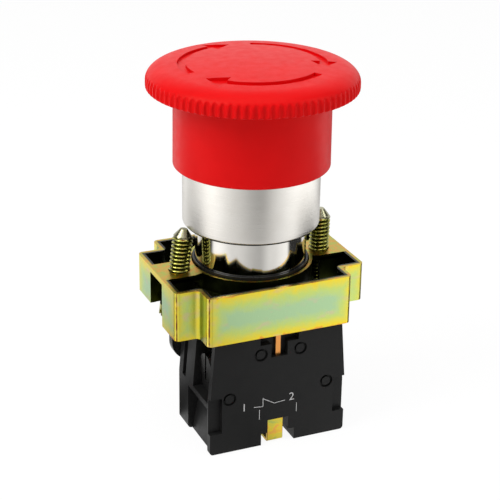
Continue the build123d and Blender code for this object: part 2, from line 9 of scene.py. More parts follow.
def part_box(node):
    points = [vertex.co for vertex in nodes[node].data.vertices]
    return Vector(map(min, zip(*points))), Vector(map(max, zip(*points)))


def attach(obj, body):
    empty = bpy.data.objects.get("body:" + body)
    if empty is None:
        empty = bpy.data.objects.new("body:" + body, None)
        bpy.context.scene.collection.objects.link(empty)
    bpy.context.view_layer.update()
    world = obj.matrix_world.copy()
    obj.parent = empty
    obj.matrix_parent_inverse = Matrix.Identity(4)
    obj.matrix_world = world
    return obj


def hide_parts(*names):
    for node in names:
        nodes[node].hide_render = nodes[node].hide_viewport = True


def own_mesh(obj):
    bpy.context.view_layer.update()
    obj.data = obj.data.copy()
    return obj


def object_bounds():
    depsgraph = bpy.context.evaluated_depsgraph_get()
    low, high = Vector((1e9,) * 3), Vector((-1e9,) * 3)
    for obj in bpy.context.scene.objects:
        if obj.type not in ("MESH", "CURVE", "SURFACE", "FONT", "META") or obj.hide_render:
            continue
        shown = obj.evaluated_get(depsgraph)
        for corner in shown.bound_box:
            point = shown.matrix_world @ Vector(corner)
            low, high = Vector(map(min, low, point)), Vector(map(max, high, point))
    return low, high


# Looks of the emergency stop push button, built round its CAD frame. Lengths
# below are in millimetres and become metres through MM. The button's axis is
# Z, with Z = 0 on the front of the panel.

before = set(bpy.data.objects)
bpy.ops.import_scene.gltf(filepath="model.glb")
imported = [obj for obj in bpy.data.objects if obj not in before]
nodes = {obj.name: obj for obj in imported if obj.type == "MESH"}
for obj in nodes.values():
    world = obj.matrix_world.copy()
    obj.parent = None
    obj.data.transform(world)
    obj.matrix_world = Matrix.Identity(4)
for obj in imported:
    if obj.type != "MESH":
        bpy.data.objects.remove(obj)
cad_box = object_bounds()
MM = 0.001

# Camera, worked out from the photo's rim, bezel and base corners
IMAGE_PX = 500
FOCAL_PX = 1470.46
SENSOR = 36.0
CAMERA_AT = (-105.324, -240.492, 107.246)
CAMERA_AZIMUTH = 23.64
CAMERA_DROP = 23.34
CAMERA_ROLL = 0.89

# Studio: brightness round the object, by azimuth from the camera's side
FLOOR_SIZE = 6.0
FLOOR_GAP = 0.0002
FLOOR_GREY = (0.82, 0.82, 0.82, 1)
FLOOR_WHITE = 1.03
FLOOR_WHITE_SHARE = 0.90
FLOOR_BANDS = [
    (-180, 0.40),
    (-155, 0.46),
    (-137, 1.52),
    (-117, 0.78),
    (-96, 1.22),
    (-67, 1.95),
    (-30, 1.00),
    (18, 0.27),
    (40, 1.00),
    (77, 1.72),
    (108, 1.70),
    (122, 1.50),
    (148, 0.30),
    (180, 0.30),
]
SKY_BANDS = [
    (-180, 1.20),
    (-140, 1.20),
    (-115, 0.08),
    (-55, 0.08),
    (-30, 0.70),
    (0, 0.55),
    (30, 0.70),
    (55, 0.08),
    (115, 0.08),
    (140, 1.20),
    (180, 1.20),
]
SKY_FILL = 0.34
# Painted dark cards in the floor, which only mirrors see: azimuths, reach from the axis in metres,
# soft edges in metres and in turns, and the light left on them. Within that reach the floor's bands
# are evened out towards a level of their own.
PAINTED_CARDS = [(-108, -80), (81, 125)]
PAINTED_CARD_REACH = 0.124
PAINTED_CARD_SOFT = 0.004
PAINTED_CARD_SEAM = 0.01
PAINTED_CARD_SHADE = 0.03
NEAR_LEVEL = 0.92
NEAR_SHARE = 0.5

# Cap. The CAD's facets end this far inside its true radius.
FACET_SAG = 0.007
KNURL_COUNT = 84
KNURL_STEPS = 12
KNURL_CUT = 0.55
KNURL_DEPTH = 0.4
CAP_RIM_BOTTOM = 27.0
CAP_RIM_TOP = 28.5
CROWN_RADIUS = 16.0
CROWN_EDGE = 31.3
SHOULDER_REACH = 2.3
SHOULDER_RISE = 1.5
CROWN_WALL = 2.0
RIM_ROUND = 0.5
ROOT_ROUND = 1.0
LIP_ROUND = 0.3
SKIRT_GAP = 0.3
SKIRT_WALL = 1.5
SKIRT_DRAFT = 0.1
ARROW_RADIUS = 13.3
ARROW_BAR = 1.6
ARROW_HEAD = 5.2
ARROW_START = -51.0
ARROW_SWEEP = 84.0
ARROW_TIP = 18.0
ARROW_FLOOR = 31.0
ARROW_RAISE = 3.0

# Bezel
BEZEL_SOFT = 0.45
BEZEL_WALL = 0.8
BEZEL_FLOOR = 0.9
BEZEL_BORE = 11.0

# Clamping screws
SCREW_X = 14.8
SCREW_LEAN = {"left": 7.0, "right": 1.0}
SCREW_RADIUS = 2.0
SCREW_ROOT = 1.55
SCREW_PITCH = 0.78
SCREW_TOP = 8.3
SCREW_FOOT = -7.2
SCREW_CONE = 1.7
SCREW_POINT = 0.7
SCREW_STEPS = 10
SCREW_SIDES = 40
THREAD_FLAT = 1.15
HEAD_RADIUS = 2.9
HEAD_HEIGHT = 2.1
HEAD_DISC = 1.0
HEAD_SLOT = 0.9
HEAD_STEPS = 24
# Height over the thread's root that the plating's colour follows, as a share
# of the thread's depth: heads and points lie outside that scale
HEAD_CREST = 0.9
TIP_CREST = 1.25

# Mounting base: half sizes of its wide part and its ears
PLATE_TOP = -7.7
BODY_HALF_LENGTH = 14.75
EAR_HALF_WIDTH = 10.5
OUTSIDE_SLACK = 0.3
INSIDE_DEPTH = 0.5
COLLAR_RIM = 12.4
COLLAR_SEAM = (0.2, 0.4)
BRIDGE_SEAM = 0.1
PLATING_REACH = 5.0
CORNER_LINE = (0.42, 0.52)
RIM_LINE = (0.50, 0.75)
WAIST_REACH = (0.35, 0.8)
WAIST_START = (0.1, 0.7)
WAIST_END = (12.2, 13.0)
FLANGE_FACE = 3.8
FLANGE_WALL = 0.7
FLANGE_ENDS = (13.3, 18.9)
FLANGE_DEPTH = 7.6
FLANGE_GAP = 0.5

# Clip: heights between which it turns orange, and changes to its strip and
# foot, with the sizes that pick their points
CLIP_FOOT = -30.0
CLIP_HOOK = -22.0
CLIP_WIDER = 0.5
CLIP_EDGE = 0.4
CLIP_BEND = 1.5
CLIP_BEND_HEIGHT = 0.7
CLIP_BEND_START = 1.0

# Rounding of CAD nodes: edges sharper than this angle, in degrees
SHARP_ANGLE = 30
BEVEL_SEGMENTS = 2

# Print on the block's face, from points in X and Z
PRINT_GAP = 0.02
PRINT_LINE = 0.12
PRINT_DEPTH = 0.03
FIGURE_SIZE = 2.4
FIGURE_DEPTH = 0.02
FIGURE_THINNER = 0.02
FIGURES = [("figure_1", "1", -7.5, -33.1), ("figure_2", "2", 2.5, -32.6)]
CONTACT_SYMBOL = [
    ((-4.83, -32.66), (-2.93, -32.86)),
    ((-2.93, -32.86), (-2.97, -30.96)),
    ((-3.0, -31.1), (-0.51, -32.57)),
    ((-0.51, -32.57), (0.87, -32.42)),
    ((0.87, -32.42), (1.72, -32.38)),
    ((-3.66, -33.45), (-3.66, -35.56)),
    ((4.2, -33.44), (4.2, -35.34)),
]


@functools.cache
def corners(node):
    """Lowest and highest corner of a CAD node, in millimetres."""
    return [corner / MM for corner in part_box(node)]


def low(node):
    return corners(node)[0]


def high(node):
    return corners(node)[1]


def new_object(name, mesh):
    obj = bpy.data.objects.new(name, mesh)
    bpy.context.scene.collection.objects.link(obj)
    return obj


def to_object(name, bm, smooth=SHARP_ANGLE):
    """Turns a bmesh in millimetres into a named object in metres."""
    bmesh.ops.scale(bm, vec=(MM, MM, MM), verts=bm.verts)
    bmesh.ops.recalc_face_normals(bm, faces=bm.faces)
    mesh = bpy.data.meshes.new(name)
    bm.to_mesh(mesh)
    bm.free()
    mesh.shade_smooth()
    mesh.set_sharp_from_angle(angle=math.radians(smooth))
    return new_object(name, mesh)


def arc(cx, cz, radius, start, end, steps):
    """Points of an arc in radius and height, angles in degrees."""
    angles = [math.radians(start + (end - start) * i / steps) for i in range(steps + 1)]
    return [(cx + radius * math.cos(a), cz + radius * math.sin(a)) for a in angles]


def bezier(handles, steps):
    """Points of a cubic curve from its four handles."""
    points = []
    for i in range(steps + 1):
        t = i / steps
        u = 1 - t
        weights = (u**3, 3 * u * u * t, 3 * u * t * t, t**3)
        points.append(tuple(sum(w * p[k] for w, p in zip(weights, handles)) for k in (0, 1)))
    return points


def line(p0, p1, steps):
    """Evenly spaced points from p0 up to, but not with, p1."""
    return [tuple(a + (b - a) * i / steps for a, b in zip(p0, p1)) for i in range(steps)]


def polar(radius, angle):
    return radius * math.cos(angle), radius * math.sin(angle)


def join_rings(bm, first, second):
    """Faces between two rings of as many points."""
    for i in range(len(first)):
        j = (i + 1) % len(first)
        bm.faces.new((first[i], first[j], second[j], second[i]))


def raise_face(bm, ring, vec):
    """Closes a ring of points and extrudes it. Gives the moved points."""
    made = bmesh.ops.extrude_face_region(bm, geom=[bm.faces.new(ring)])
    moved = [v for v in made["geom"] if isinstance(v, bmesh.types.BMVert)]
    bmesh.ops.translate(bm, verts=moved, vec=vec)
    return moved


def lathe(profile, turns, radius_at=None):
    """A bmesh turned about Z from a closed profile. radius_at may change each
    point's radius by its angle."""
    bm = bmesh.new()
    rings = []
    for radius, z in profile:
        ring = []
        for i in range(turns):
            a = 2 * math.pi * i / turns
            r = radius_at(radius, z, a) if radius_at else radius
            ring.append(bm.verts.new((*polar(r, a), z)))
        rings.append(ring)
    for inner, outer in zip(rings, rings[1:] + rings[:1]):
        join_rings(bm, inner, outer)
    bmesh.ops.remove_doubles(bm, verts=bm.verts, dist=1e-5)
    bmesh.ops.dissolve_degenerate(bm, edges=bm.edges, dist=1e-5)
    return bm


def make_camera():
    th, phi, rho = (math.radians(a) for a in (CAMERA_AZIMUTH, CAMERA_DROP, CAMERA_ROLL))
    forward = Vector((math.sin(th) * math.cos(phi), math.cos(th) * math.cos(phi), -math.sin(phi)))
    right = forward.cross(Vector((0, 0, 1))).normalized()
    up = right.cross(forward)
    tilted_right = math.cos(rho) * right + math.sin(rho) * up
    tilted_up = math.cos(rho) * up - math.sin(rho) * right
    turn = Matrix((tilted_right, tilted_up, -forward)).transposed()
    data = bpy.data.cameras.new("camera")
    data.sensor_width = SENSOR
    data.lens = FOCAL_PX / IMAGE_PX * SENSOR
    data.clip_start = 0.01
    data.clip_end = 20
    camera = new_object("camera", data)
    camera.matrix_world = Matrix.Translation(Vector(CAMERA_AT) * MM) @ turn.to_4x4()
    bpy.context.scene.camera = camera


class Nodes:
    """A small helper that adds shader nodes and links them."""

    def __init__(self, tree):
        self.tree = tree
        self.tree.nodes.clear()

    def add(self, kind, inputs=None, **settings):
        node = self.tree.nodes.new(kind)
        for key, value in settings.items():
            setattr(node, key, value)
        for key, value in (inputs or {}).items():
            if isinstance(value, bpy.types.NodeSocket):
                self.tree.links.new(value, node.inputs[key])
            else:
                node.inputs[key].default_value = value
        return node

    def math(self, operation, a, b=0.0):
        return self.add("ShaderNodeMath", {0: a, 1: b}, operation=operation).outputs[0]

    def vector_math(self, operation, a, b=(0, 0, 0), output=0):
        return self.add("ShaderNodeVectorMath", {0: a, 1: b}, operation=operation).outputs[output]

    def split(self, vector):
        return self.add("ShaderNodeSeparateXYZ", {0: vector}).outputs

    def mix(self, factor, a, b):
        node = self.add("ShaderNodeMix", {0: factor, 6: a, 7: b}, data_type="RGBA")
        return node.outputs[2]

    def blend(self, factor, a, b):
        """Mixes two shaders."""
        return self.add("ShaderNodeMixShader", {0: factor, 1: a, 2: b}).outputs[0]

    def noise(self, scale, detail, rough=0.5, *, vector, distortion=0.0):
        inputs = {"Scale": scale, "Detail": detail, "Roughness": rough, "Distortion": distortion}
        inputs["Vector"] = vector
        return self.add("ShaderNodeTexNoise", inputs).outputs["Fac"]

    def ramp(self, factor, stops, interpolation="LINEAR"):
        node = self.add("ShaderNodeValToRGB", {0: factor})
        node.color_ramp.interpolation = interpolation
        elements = node.color_ramp.elements
        while len(elements) < len(stops):
            elements.new(1.0)
        for element, (place, colour) in zip(elements, stops):
            element.position = place
            element.color = colour if len(colour) == 4 else (*colour, 1.0)
        return node.outputs[0]

    def span(self, value, start, end, to_start=0.0, to_end=1.0):
        inputs = {0: value, 1: start, 2: end, 3: to_start, 4: to_end}
        return self.add("ShaderNodeMapRange", inputs).outputs[0]

    def bump(self, height, distance, strength):
        inputs = {"Strength": strength, "Distance": distance, "Height": height}
        return self.add("ShaderNodeBump", inputs).outputs[0]

    def place(self):
        """Object coordinates in millimetres."""
        coords = self.add("ShaderNodeTexCoord").outputs["Object"]
        scale = self.add("ShaderNodeVectorMath", {0: coords, "Scale": 1 / MM}, operation="SCALE")
        return scale.outputs[0]

    def stretched(self, place, factors):
        return self.vector_math("MULTIPLY", place, factors)

    def flat(self, place):
        """The place without its height."""
        return self.stretched(place, (1, 1, 0))

    def radius(self, place):
        """Distance from the Z axis."""
        return self.vector_math("LENGTH", self.flat(place), output="Value")


def new_material(name, **settings):
    """A material with a Principled shader, and the helper to add nodes to it."""
    material = bpy.data.materials.new(name)
    material.use_nodes = True
    helper = Nodes(material.node_tree)
    shader = helper.add("ShaderNodeBsdfPrincipled")
    output = helper.add("ShaderNodeOutputMaterial", {"Surface": shader.outputs[0]})
    output.is_active_output = True
    for key, value in settings.items():
        shader.inputs[key.replace("_", " ")].default_value = value
    return material, helper, shader


def connect(helper, shader, **sockets):
    for key, socket in sockets.items():
        helper.tree.links.new(socket, shader.inputs[key.replace("_", " ")])


def red_plastic():
    """Glossy moulded red, with a fine moulded grain and faint mottling."""
    material, n, shader = new_material(
        "red_plastic", IOR=1.5, Specular_IOR_Level=0.10, Specular_Tint=(1.0, 0.76, 0.58, 1)
    )
    place = n.place()
    mottle = n.noise(0.22, 2, vector=place)
    colour = n.mix(mottle, (0.63, 0.0020, 0.0035, 1), (0.71, 0.0030, 0.0050, 1))
    rough = n.span(n.noise(0.6, 5, vector=place), 0.3, 0.7, 0.36, 0.46)
    grain = n.noise(9.0, 4, 0.6, vector=place)
    connect(n, shader, Base_Color=colour, Roughness=rough, Normal=n.bump(grain, 0.00002, 0.3))
    return material


def satin_metal():
    """Bezel: satin plating with faint lines left round it by turning."""
    material, n, shader = new_material("satin_metal", Metallic=1.0, Anisotropic=0.7)
    place = n.place()
    lines = n.noise(1.0, 4, 0.6, vector=n.stretched(place, (0.15, 0.15, 14.0)))
    cloud = n.noise(0.25, 3, vector=place)
    colour = n.mix(cloud, (0.66, 0.63, 0.58, 1), (0.76, 0.74, 0.70, 1))
    rough = n.span(lines, 0.2, 0.8, 0.24, 0.36)
    tangent = n.add("ShaderNodeTangent", direction_type="RADIAL", axis="Z").outputs[0]
    connect(n, shader, Base_Color=colour, Roughness=rough, Tangent=tangent)
    connect(n, shader, Normal=n.bump(lines, 0.00001, 0.35))
    return material


def mirror_metal():
    """Barrel: polished plating, barely hazed."""
    material, n, shader = new_material("mirror_metal", Metallic=1.0)
    place = n.place()
    haze = n.noise(0.5, 4, vector=place)
    colour = n.mix(haze, (0.64, 0.62, 0.58, 1), (0.72, 0.70, 0.66, 1))
    lines = n.noise(1.0, 3, 0.5, vector=n.stretched(place, (0.2, 0.2, 8.0)))
    rough = n.span(haze, 0.3, 0.8, 0.07, 0.12)
    connect(n, shader, Base_Color=colour, Roughness=rough, Normal=n.bump(lines, 0.000004, 0.3))
    return material


def corner_distance(n, place, *columns):
    """Distance in millimetres from the nearest of the base's vertical edges,
    given by X and Y in one quarter of it."""
    flat = n.flat(n.vector_math("ABSOLUTE", place))
    gaps = [n.vector_math("DISTANCE", flat, (x, y, 0), "Value") for x, y in columns]
    return functools.reduce(functools.partial(n.math, "MINIMUM"), gaps)


def wall_edge_distance(n, place):
    """Distance in millimetres from the nearest edge of the base's walls."""
    height = n.split(place)[2]
    from_top = n.math("SUBTRACT", PLATE_TOP, height)
    from_bottom = n.math("SUBTRACT", height, low("mounting_base").z)
    wide, long = high("mounting_base").y, high("mounting_base").x
    columns = (BODY_HALF_LENGTH, wide), (BODY_HALF_LENGTH, EAR_HALF_WIDTH), (long, EAR_HALF_WIDTH)
    nearest = n.math("MINIMUM", from_top, from_bottom)
    return n.math("MINIMUM", nearest, corner_distance(n, place, *columns))


def corner_line(n, place):
    """1 along the base's outer vertical corners, falling to 0 beside them."""
    wide, long = high("mounting_base").y, high("mounting_base").x
    nearest = corner_distance(n, place, (BODY_HALF_LENGTH, wide), (long, EAR_HALF_WIDTH))
    return n.span(nearest, *CORNER_LINE, 1.0, 0.0)


def waist_painted_shade(n, place):
    """Painted shade: 1 on the ear's side of the narrow step faces between the ears and the wide
    part, else 0."""
    x, y, _ = n.split(n.vector_math("ABSOLUTE", place))
    off_face = n.math("ABSOLUTE", n.math("SUBTRACT", x, BODY_HALF_LENGTH))
    across = n.span(off_face, *WAIST_REACH, 1.0, 0.0)
    start = n.span(y, *(EAR_HALF_WIDTH + off for off in WAIST_START))
    end = n.span(y, *WAIST_END, 1.0, 0.0)
    return n.math("MULTIPLY", across, n.math("MULTIPLY", start, end))


def rim_painted_shade(n, place):
    """Painted shade: 0 on the outer half of the walls' top edge and on the bridge, 1 on the inner
    half, which is painted near black as if it rounded off into the dark pockets."""
    x, y, _ = n.split(n.vector_math("ABSOLUTE", place))
    wide, long = high("mounting_base").y, high("mounting_base").x
    middle = n.math("MINIMUM", n.math("SUBTRACT", BODY_HALF_LENGTH, x), n.math("SUBTRACT", wide, y))
    ears = n.math("MINIMUM", n.math("SUBTRACT", long, x), n.math("SUBTRACT", EAR_HALF_WIDTH, y))
    inset = n.math("MAXIMUM", middle, ears)
    off_bridge = n.span(y, FLANGE_FACE, FLANGE_FACE + BRIDGE_SEAM)
    off_collar = n.span(n.radius(place), *(COLLAR_RIM + off for off in COLLAR_SEAM))
    walls = n.math("MULTIPLY", off_bridge, off_collar)
    return n.math("MULTIPLY", n.span(inset, *RIM_LINE), walls)


def wall_chromate():
    """Yellow passivated walls: orange and gold along each face's edges, pale green and blue over the
    middle, with faint pink blushes. Painted shade darkens the step faces by the ears and the inner
    half of the top edges, and the upward faces are painted a darker tone of their own."""
    material, n, shader = new_material("wall_chromate", Metallic=1.0)
    place = n.place()
    cloud = n.noise(0.35, 4, 0.6, vector=place, distortion=0.6)
    drift = n.span(cloud, 0.25, 0.75, -0.5, 1.1)
    distance = n.math("ADD", wall_edge_distance(n, place), drift)
    share = n.math("DIVIDE", distance, PLATING_REACH)
    colour = n.ramp(share, [
        (0.00, (0.84, 0.38, 0.06)),
        (0.06, (0.90, 0.68, 0.04)),
        (0.22, (0.78, 0.69, 0.09)),
        (0.46, (0.58, 0.69, 0.18)),
        (0.85, (0.43, 0.63, 0.35)),
    ])
    blush = n.span(n.noise(0.3, 2, vector=n.stretched(place, (1, 1, 1.7))), 0.58, 0.74)
    colour = n.mix(n.math("MULTIPLY", blush, 0.45), colour, (0.72, 0.50, 0.38, 1))
    # Painted shade: the step faces beside the ears go dark green
    colour = n.mix(n.math("MULTIPLY", waist_painted_shade(n, place), 0.8), colour, (0.07, 0.18, 0.03, 1))
    patchy = n.span(n.noise(0.8, 3, vector=place), 0.35, 0.6, 0.5, 1.0)
    colour = n.mix(n.math("MULTIPLY", corner_line(n, place), patchy), colour, (0.12, 0.03, 0.025, 1))
    # Painted shade: upward faces take a darker orange and olive tone of their own
    normal = n.add("ShaderNodeNewGeometry").outputs["True Normal"]
    upward = n.split(normal)[2]
    streak = n.noise(0.9, 3, vector=place)
    painted_top_colour = n.mix(n.span(streak, 0.35, 0.65), (0.56, 0.27, 0.03, 1), (0.34, 0.38, 0.05, 1))
    # Painted shade: the inner half of the walls' top edge goes near black
    painted_top_colour = n.mix(rim_painted_shade(n, place), painted_top_colour, (0.01, 0.012, 0.003, 1))
    colour = n.mix(n.span(upward, 0.6, 0.8), colour, painted_top_colour)
    lines = n.noise(1.0, 4, 0.6, vector=n.stretched(place, (6.0, 6.0, 0.5)))
    rough = n.span(lines, 0.3, 0.7, 0.26, 0.38)
    connect(n, shader, Base_Color=colour, Roughness=rough, Normal=n.bump(lines, 0.00002, 0.25))
    return material


def painted_shade_chromate():
    """Painted shade for the base's inner faces: the same plating, near black with a green cast."""
    material, n, shader = new_material("painted_shade_chromate", Metallic=1.0)
    place = n.place()
    cloud = n.noise(0.3, 3, 0.5, vector=place)
    colour = n.mix(cloud, (0.004, 0.005, 0.001, 1), (0.045, 0.055, 0.010, 1))
    connect(n, shader, Base_Color=colour, Roughness=n.span(cloud, 0.3, 0.7, 0.30, 0.45))
    return material


def clip_chromate():
    """Yellow passivated plating of the clip: gold with olive clouds, and orange
    towards its hook."""
    material, n, shader = new_material("chromate", Metallic=1.0)
    place = n.place()
    cloud = n.noise(0.5, 3, 0.55, vector=place, distortion=0.8)
    colour = n.ramp(cloud, [
        (0.32, (0.86, 0.42, 0.10)),
        (0.45, (0.85, 0.60, 0.06)),
        (0.58, (0.72, 0.62, 0.08)),
        (0.70, (0.50, 0.55, 0.12)),
    ])
    height = n.split(place)[2]
    colour = n.mix(n.span(height, CLIP_FOOT, CLIP_HOOK), colour, (0.80, 0.34, 0.09, 1))
    grain = n.noise(2.5, 5, 0.6, vector=place)
    rough = n.span(grain, 0.3, 0.7, 0.26, 0.38)
    connect(n, shader, Base_Color=colour, Roughness=rough, Normal=n.bump(grain, 0.00002, 0.4))
    return material


def screw_chromate():
    """Screw plating: olive and gold on the crests, with painted shade that darkens the thread
    towards its root, and greyer on the points."""
    material, n, shader = new_material("screw_chromate", Metallic=1.0)
    place = n.place()
    cloud = n.noise(0.6, 3, 0.55, vector=place)
    height = n.add("ShaderNodeAttribute", attribute_name="crest").outputs["Fac"]
    crest_level = n.math("ADD", height, n.span(cloud, 0.3, 0.7, -0.12, 0.12))
    # Painted shade: the low end of the ramp darkens the thread's roots to near black
    colour = n.ramp(n.math("DIVIDE", crest_level, TIP_CREST), [
        (0.00, (0.012, 0.014, 0.003)),
        (0.28, (0.060, 0.060, 0.010)),
        (0.48, (0.22, 0.23, 0.04)),
        (0.64, (0.46, 0.42, 0.09)),
        (0.80, (0.38, 0.40, 0.10)),
        (0.96, (0.34, 0.33, 0.22)),
    ])
    connect(n, shader, Base_Color=colour, Roughness=n.span(cloud, 0.3, 0.7, 0.20, 0.32))
    return material


def edge_stain():
    """Brown and red line where the passivation is thick along sharp edges."""
    material, n, shader = new_material("edge_stain", Metallic=1.0)
    place = n.place()
    patch = n.noise(0.5, 4, vector=place)
    colour = n.ramp(patch, [
        (0.35, (0.20, 0.06, 0.035)),
        (0.55, (0.36, 0.17, 0.06)),
        (0.70, (0.62, 0.44, 0.13)),
    ])
    rough = n.span(patch, 0.3, 0.7, 0.3, 0.45)
    connect(n, shader, Base_Color=colour, Roughness=rough)
    return material


def black_plastic(name, shade=0.010, rough=0.42):
    """Black moulded plastic with a fine grain and slight sheen changes."""
    material, n, shader = new_material(name, IOR=1.5, Specular_IOR_Level=0.15)
    place = n.place()
    cloud = n.noise(0.3, 4, vector=place)
    dark = (shade * 0.8, shade * 0.8, shade * 0.82, 1)
    light = (shade * 1.3, shade * 1.3, shade * 1.25, 1)
    colour = n.mix(cloud, dark, light)
    grain = n.noise(7.0, 4, 0.6, vector=place)
    roughness = n.span(cloud, 0.3, 0.7, rough - 0.05, rough + 0.06)
    connect(n, shader, Base_Color=colour, Roughness=roughness, Normal=n.bump(grain, 0.00002, 0.35))
    return material


def plain_metal(name, colour, rough=0.3):
    material, n, shader = new_material(name, Metallic=1.0)
    place = n.place()
    cloud = n.noise(0.8, 4, vector=place)
    dark = tuple(0.8 * c for c in colour)
    connect(n, shader, Base_Color=n.mix(cloud, (*dark, 1), (*colour, 1)))
    connect(n, shader, Roughness=n.span(cloud, 0.3, 0.7, rough - 0.06, rough + 0.08))
    return material


def print_ink():
    material, n, shader = new_material("print_ink", Roughness=0.6)
    place = n.place()
    wear = n.noise(5.0, 4, vector=place)
    connect(n, shader, Base_Color=n.mix(wear, (0.42, 0.42, 0.42, 1), (0.62, 0.62, 0.62, 1)))
    return material


def dress(obj, *materials):
    if obj.data.materials:
        obj.data.materials.clear()
    for material in materials:
        obj.data.materials.append(material)


def cap_profile():
    """Closed outline of the cap: crown, shoulder, rim, skirt and inside."""
    radius = high("mushroom_cap").x + FACET_SAG
    top = high("mushroom_cap").z
    foot = low("mushroom_cap").z
    skirt = high("bezel_ring").x + SKIRT_GAP + SKIRT_WALL
    rise = top - CROWN_EDGE
    shares = [i / 40 for i in range(40)]
    crown = [(CROWN_RADIUS * share, top - rise * share**2) for share in shares]
    slope = 2 * rise / CROWN_RADIUS
    handles = [
        (CROWN_RADIUS, CROWN_EDGE),
        (CROWN_RADIUS + SHOULDER_REACH, CROWN_EDGE - slope * SHOULDER_REACH),
        (radius, CAP_RIM_TOP + SHOULDER_RISE),
        (radius, CAP_RIM_TOP),
    ]
    shoulder = bezier(handles, 18)
    rim = line((radius, CAP_RIM_TOP), (radius, CAP_RIM_BOTTOM + RIM_ROUND), 4)[1:]
    under = arc(radius - RIM_ROUND, CAP_RIM_BOTTOM + RIM_ROUND, RIM_ROUND, 0, -90, 6)
    root_radius = skirt - SKIRT_DRAFT + ROOT_ROUND
    root = arc(root_radius, CAP_RIM_BOTTOM - ROOT_ROUND, ROOT_ROUND, 90, 180, 6)
    lip = arc(skirt - LIP_ROUND, foot + LIP_ROUND, LIP_ROUND, 0, -90, 5)
    bore, roof = skirt - SKIRT_WALL, CROWN_EDGE - CROWN_WALL
    return crown + shoulder + rim + under + root + lip + [(bore, foot), (bore, roof), (0, roof)]


def knurled(radius, z, angle):
    """Radius of the rim after the knurl's grooves have been cut in it."""
    if z < CAP_RIM_BOTTOM - 0.01 or radius < CROWN_RADIUS:
        return radius
    step = 2 * math.pi / KNURL_COUNT
    off = (angle + step / 2) % step - step / 2
    centre = high("mushroom_cap").x + FACET_SAG - KNURL_DEPTH + KNURL_CUT
    side = centre * math.sin(off)
    if abs(side) >= KNURL_CUT:
        return radius
    return min(radius, centre * math.cos(off) - math.sqrt(KNURL_CUT**2 - side**2))


def arrow_cutter(turn):
    """A bmesh that cuts one curved arrow into the crown."""
    bm = bmesh.new()
    start = ARROW_START + turn
    end = start - ARROW_SWEEP
    steps = 36
    angles = [math.radians(start + (end - start) * i / steps) for i in range(steps + 1)]
    outer = [polar(ARROW_RADIUS + ARROW_BAR / 2, a) for a in angles]
    inner = [polar(ARROW_RADIUS - ARROW_BAR / 2, a) for a in angles]
    back = math.radians(end)
    head = [
        polar(ARROW_RADIUS + ARROW_HEAD / 2, back),
        polar(ARROW_RADIUS, math.radians(end - ARROW_TIP)),
        polar(ARROW_RADIUS - ARROW_HEAD / 2, back),
    ]
    outline = outer + head + inner[::-1]
    bottom = [bm.verts.new((x, y, ARROW_FLOOR)) for x, y in outline]
    raise_face(bm, bottom, (0, 0, ARROW_RAISE))
    bmesh.ops.triangulate(bm, faces=[f for f in bm.faces if len(f.verts) > 4])
    return bm


def evaluated_mesh(obj):
    """The object's mesh with its modifiers applied."""
    evaluated = obj.evaluated_get(bpy.context.evaluated_depsgraph_get())
    return bpy.data.meshes.new_from_object(evaluated)


def make_cap(material):
    cap = to_object("cap", lathe(cap_profile(), KNURL_COUNT * KNURL_STEPS, knurled))
    cutters = []
    for i in range(3):
        cutter = to_object(f"arrow_cutter_{i}", arrow_cutter(120 * i))
        modifier = cap.modifiers.new("arrow", "BOOLEAN")
        modifier.operation = "DIFFERENCE"
        modifier.solver = "EXACT"
        modifier.object = cutter
        cutters.append(cutter)
    mesh = evaluated_mesh(cap)
    cap.modifiers.clear()
    cap.data = mesh
    mesh.shade_smooth()
    mesh.set_sharp_from_angle(angle=math.radians(35))
    for cutter in cutters:
        bpy.data.objects.remove(cutter)
    dress(cap, material)
    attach(cap, "button")
    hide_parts("mushroom_cap")


def make_bezel(material):
    radius = high("bezel_ring").x
    bottom = low("bezel_ring").z
    top = high("bezel_ring").z
    floor = bottom + BEZEL_FLOOR
    soft = BEZEL_SOFT
    profile = line((radius, bottom + soft), (radius, top - soft), 24)
    profile += arc(radius - soft, top - soft, soft, 0, 90, 8)
    profile += [(radius - BEZEL_WALL, top), (radius - BEZEL_WALL, floor)]
    profile += [(BEZEL_BORE, floor), (BEZEL_BORE, bottom)]
    profile += arc(radius - soft, bottom + soft, soft, -90, 0, 8)[:-1]
    bezel = to_object("bezel", lathe(profile, 192))
    dress(bezel, material)
    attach(bezel, "housing")
    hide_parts("bezel_ring")


def screw_radius(z, angle):
    """Radius of a clamping screw at a height and angle, thread and point."""
    wave = (z / SCREW_PITCH - angle / (2 * math.pi)) % 1.0
    rise = min(1.0, THREAD_FLAT * (1 - abs(2 * wave - 1)))
    radius = SCREW_ROOT + (SCREW_RADIUS - SCREW_ROOT) * rise
    cone = SCREW_POINT + (SCREW_TOP - z) * (SCREW_RADIUS - SCREW_POINT) / SCREW_CONE
    return min(radius, max(cone, SCREW_POINT))


def add_slotted_head(bm, top, crest):
    """Adds a screw's cheese head below a height: a disc and two half discs
    that leave the driver slot between them."""
    half = HEAD_SLOT / 2
    lean = math.asin(half / HEAD_RADIUS)
    full = [math.pi * i / HEAD_STEPS for i in range(2 * HEAD_STEPS)]
    upper = [lean + (math.pi - 2 * lean) * i / HEAD_STEPS for i in range(HEAD_STEPS + 1)]
    layers = [
        (full, top - HEAD_DISC, top),
        (upper, top - HEAD_HEIGHT, top - HEAD_DISC),
        ([a + math.pi for a in upper], top - HEAD_HEIGHT, top - HEAD_DISC),
    ]
    for angles, bottom, roof in layers:
        ring = [bm.verts.new((*polar(HEAD_RADIUS, a), bottom)) for a in angles]
        for vert in ring + raise_face(bm, ring, (0, 0, roof - bottom)):
            vert[crest] = HEAD_CREST


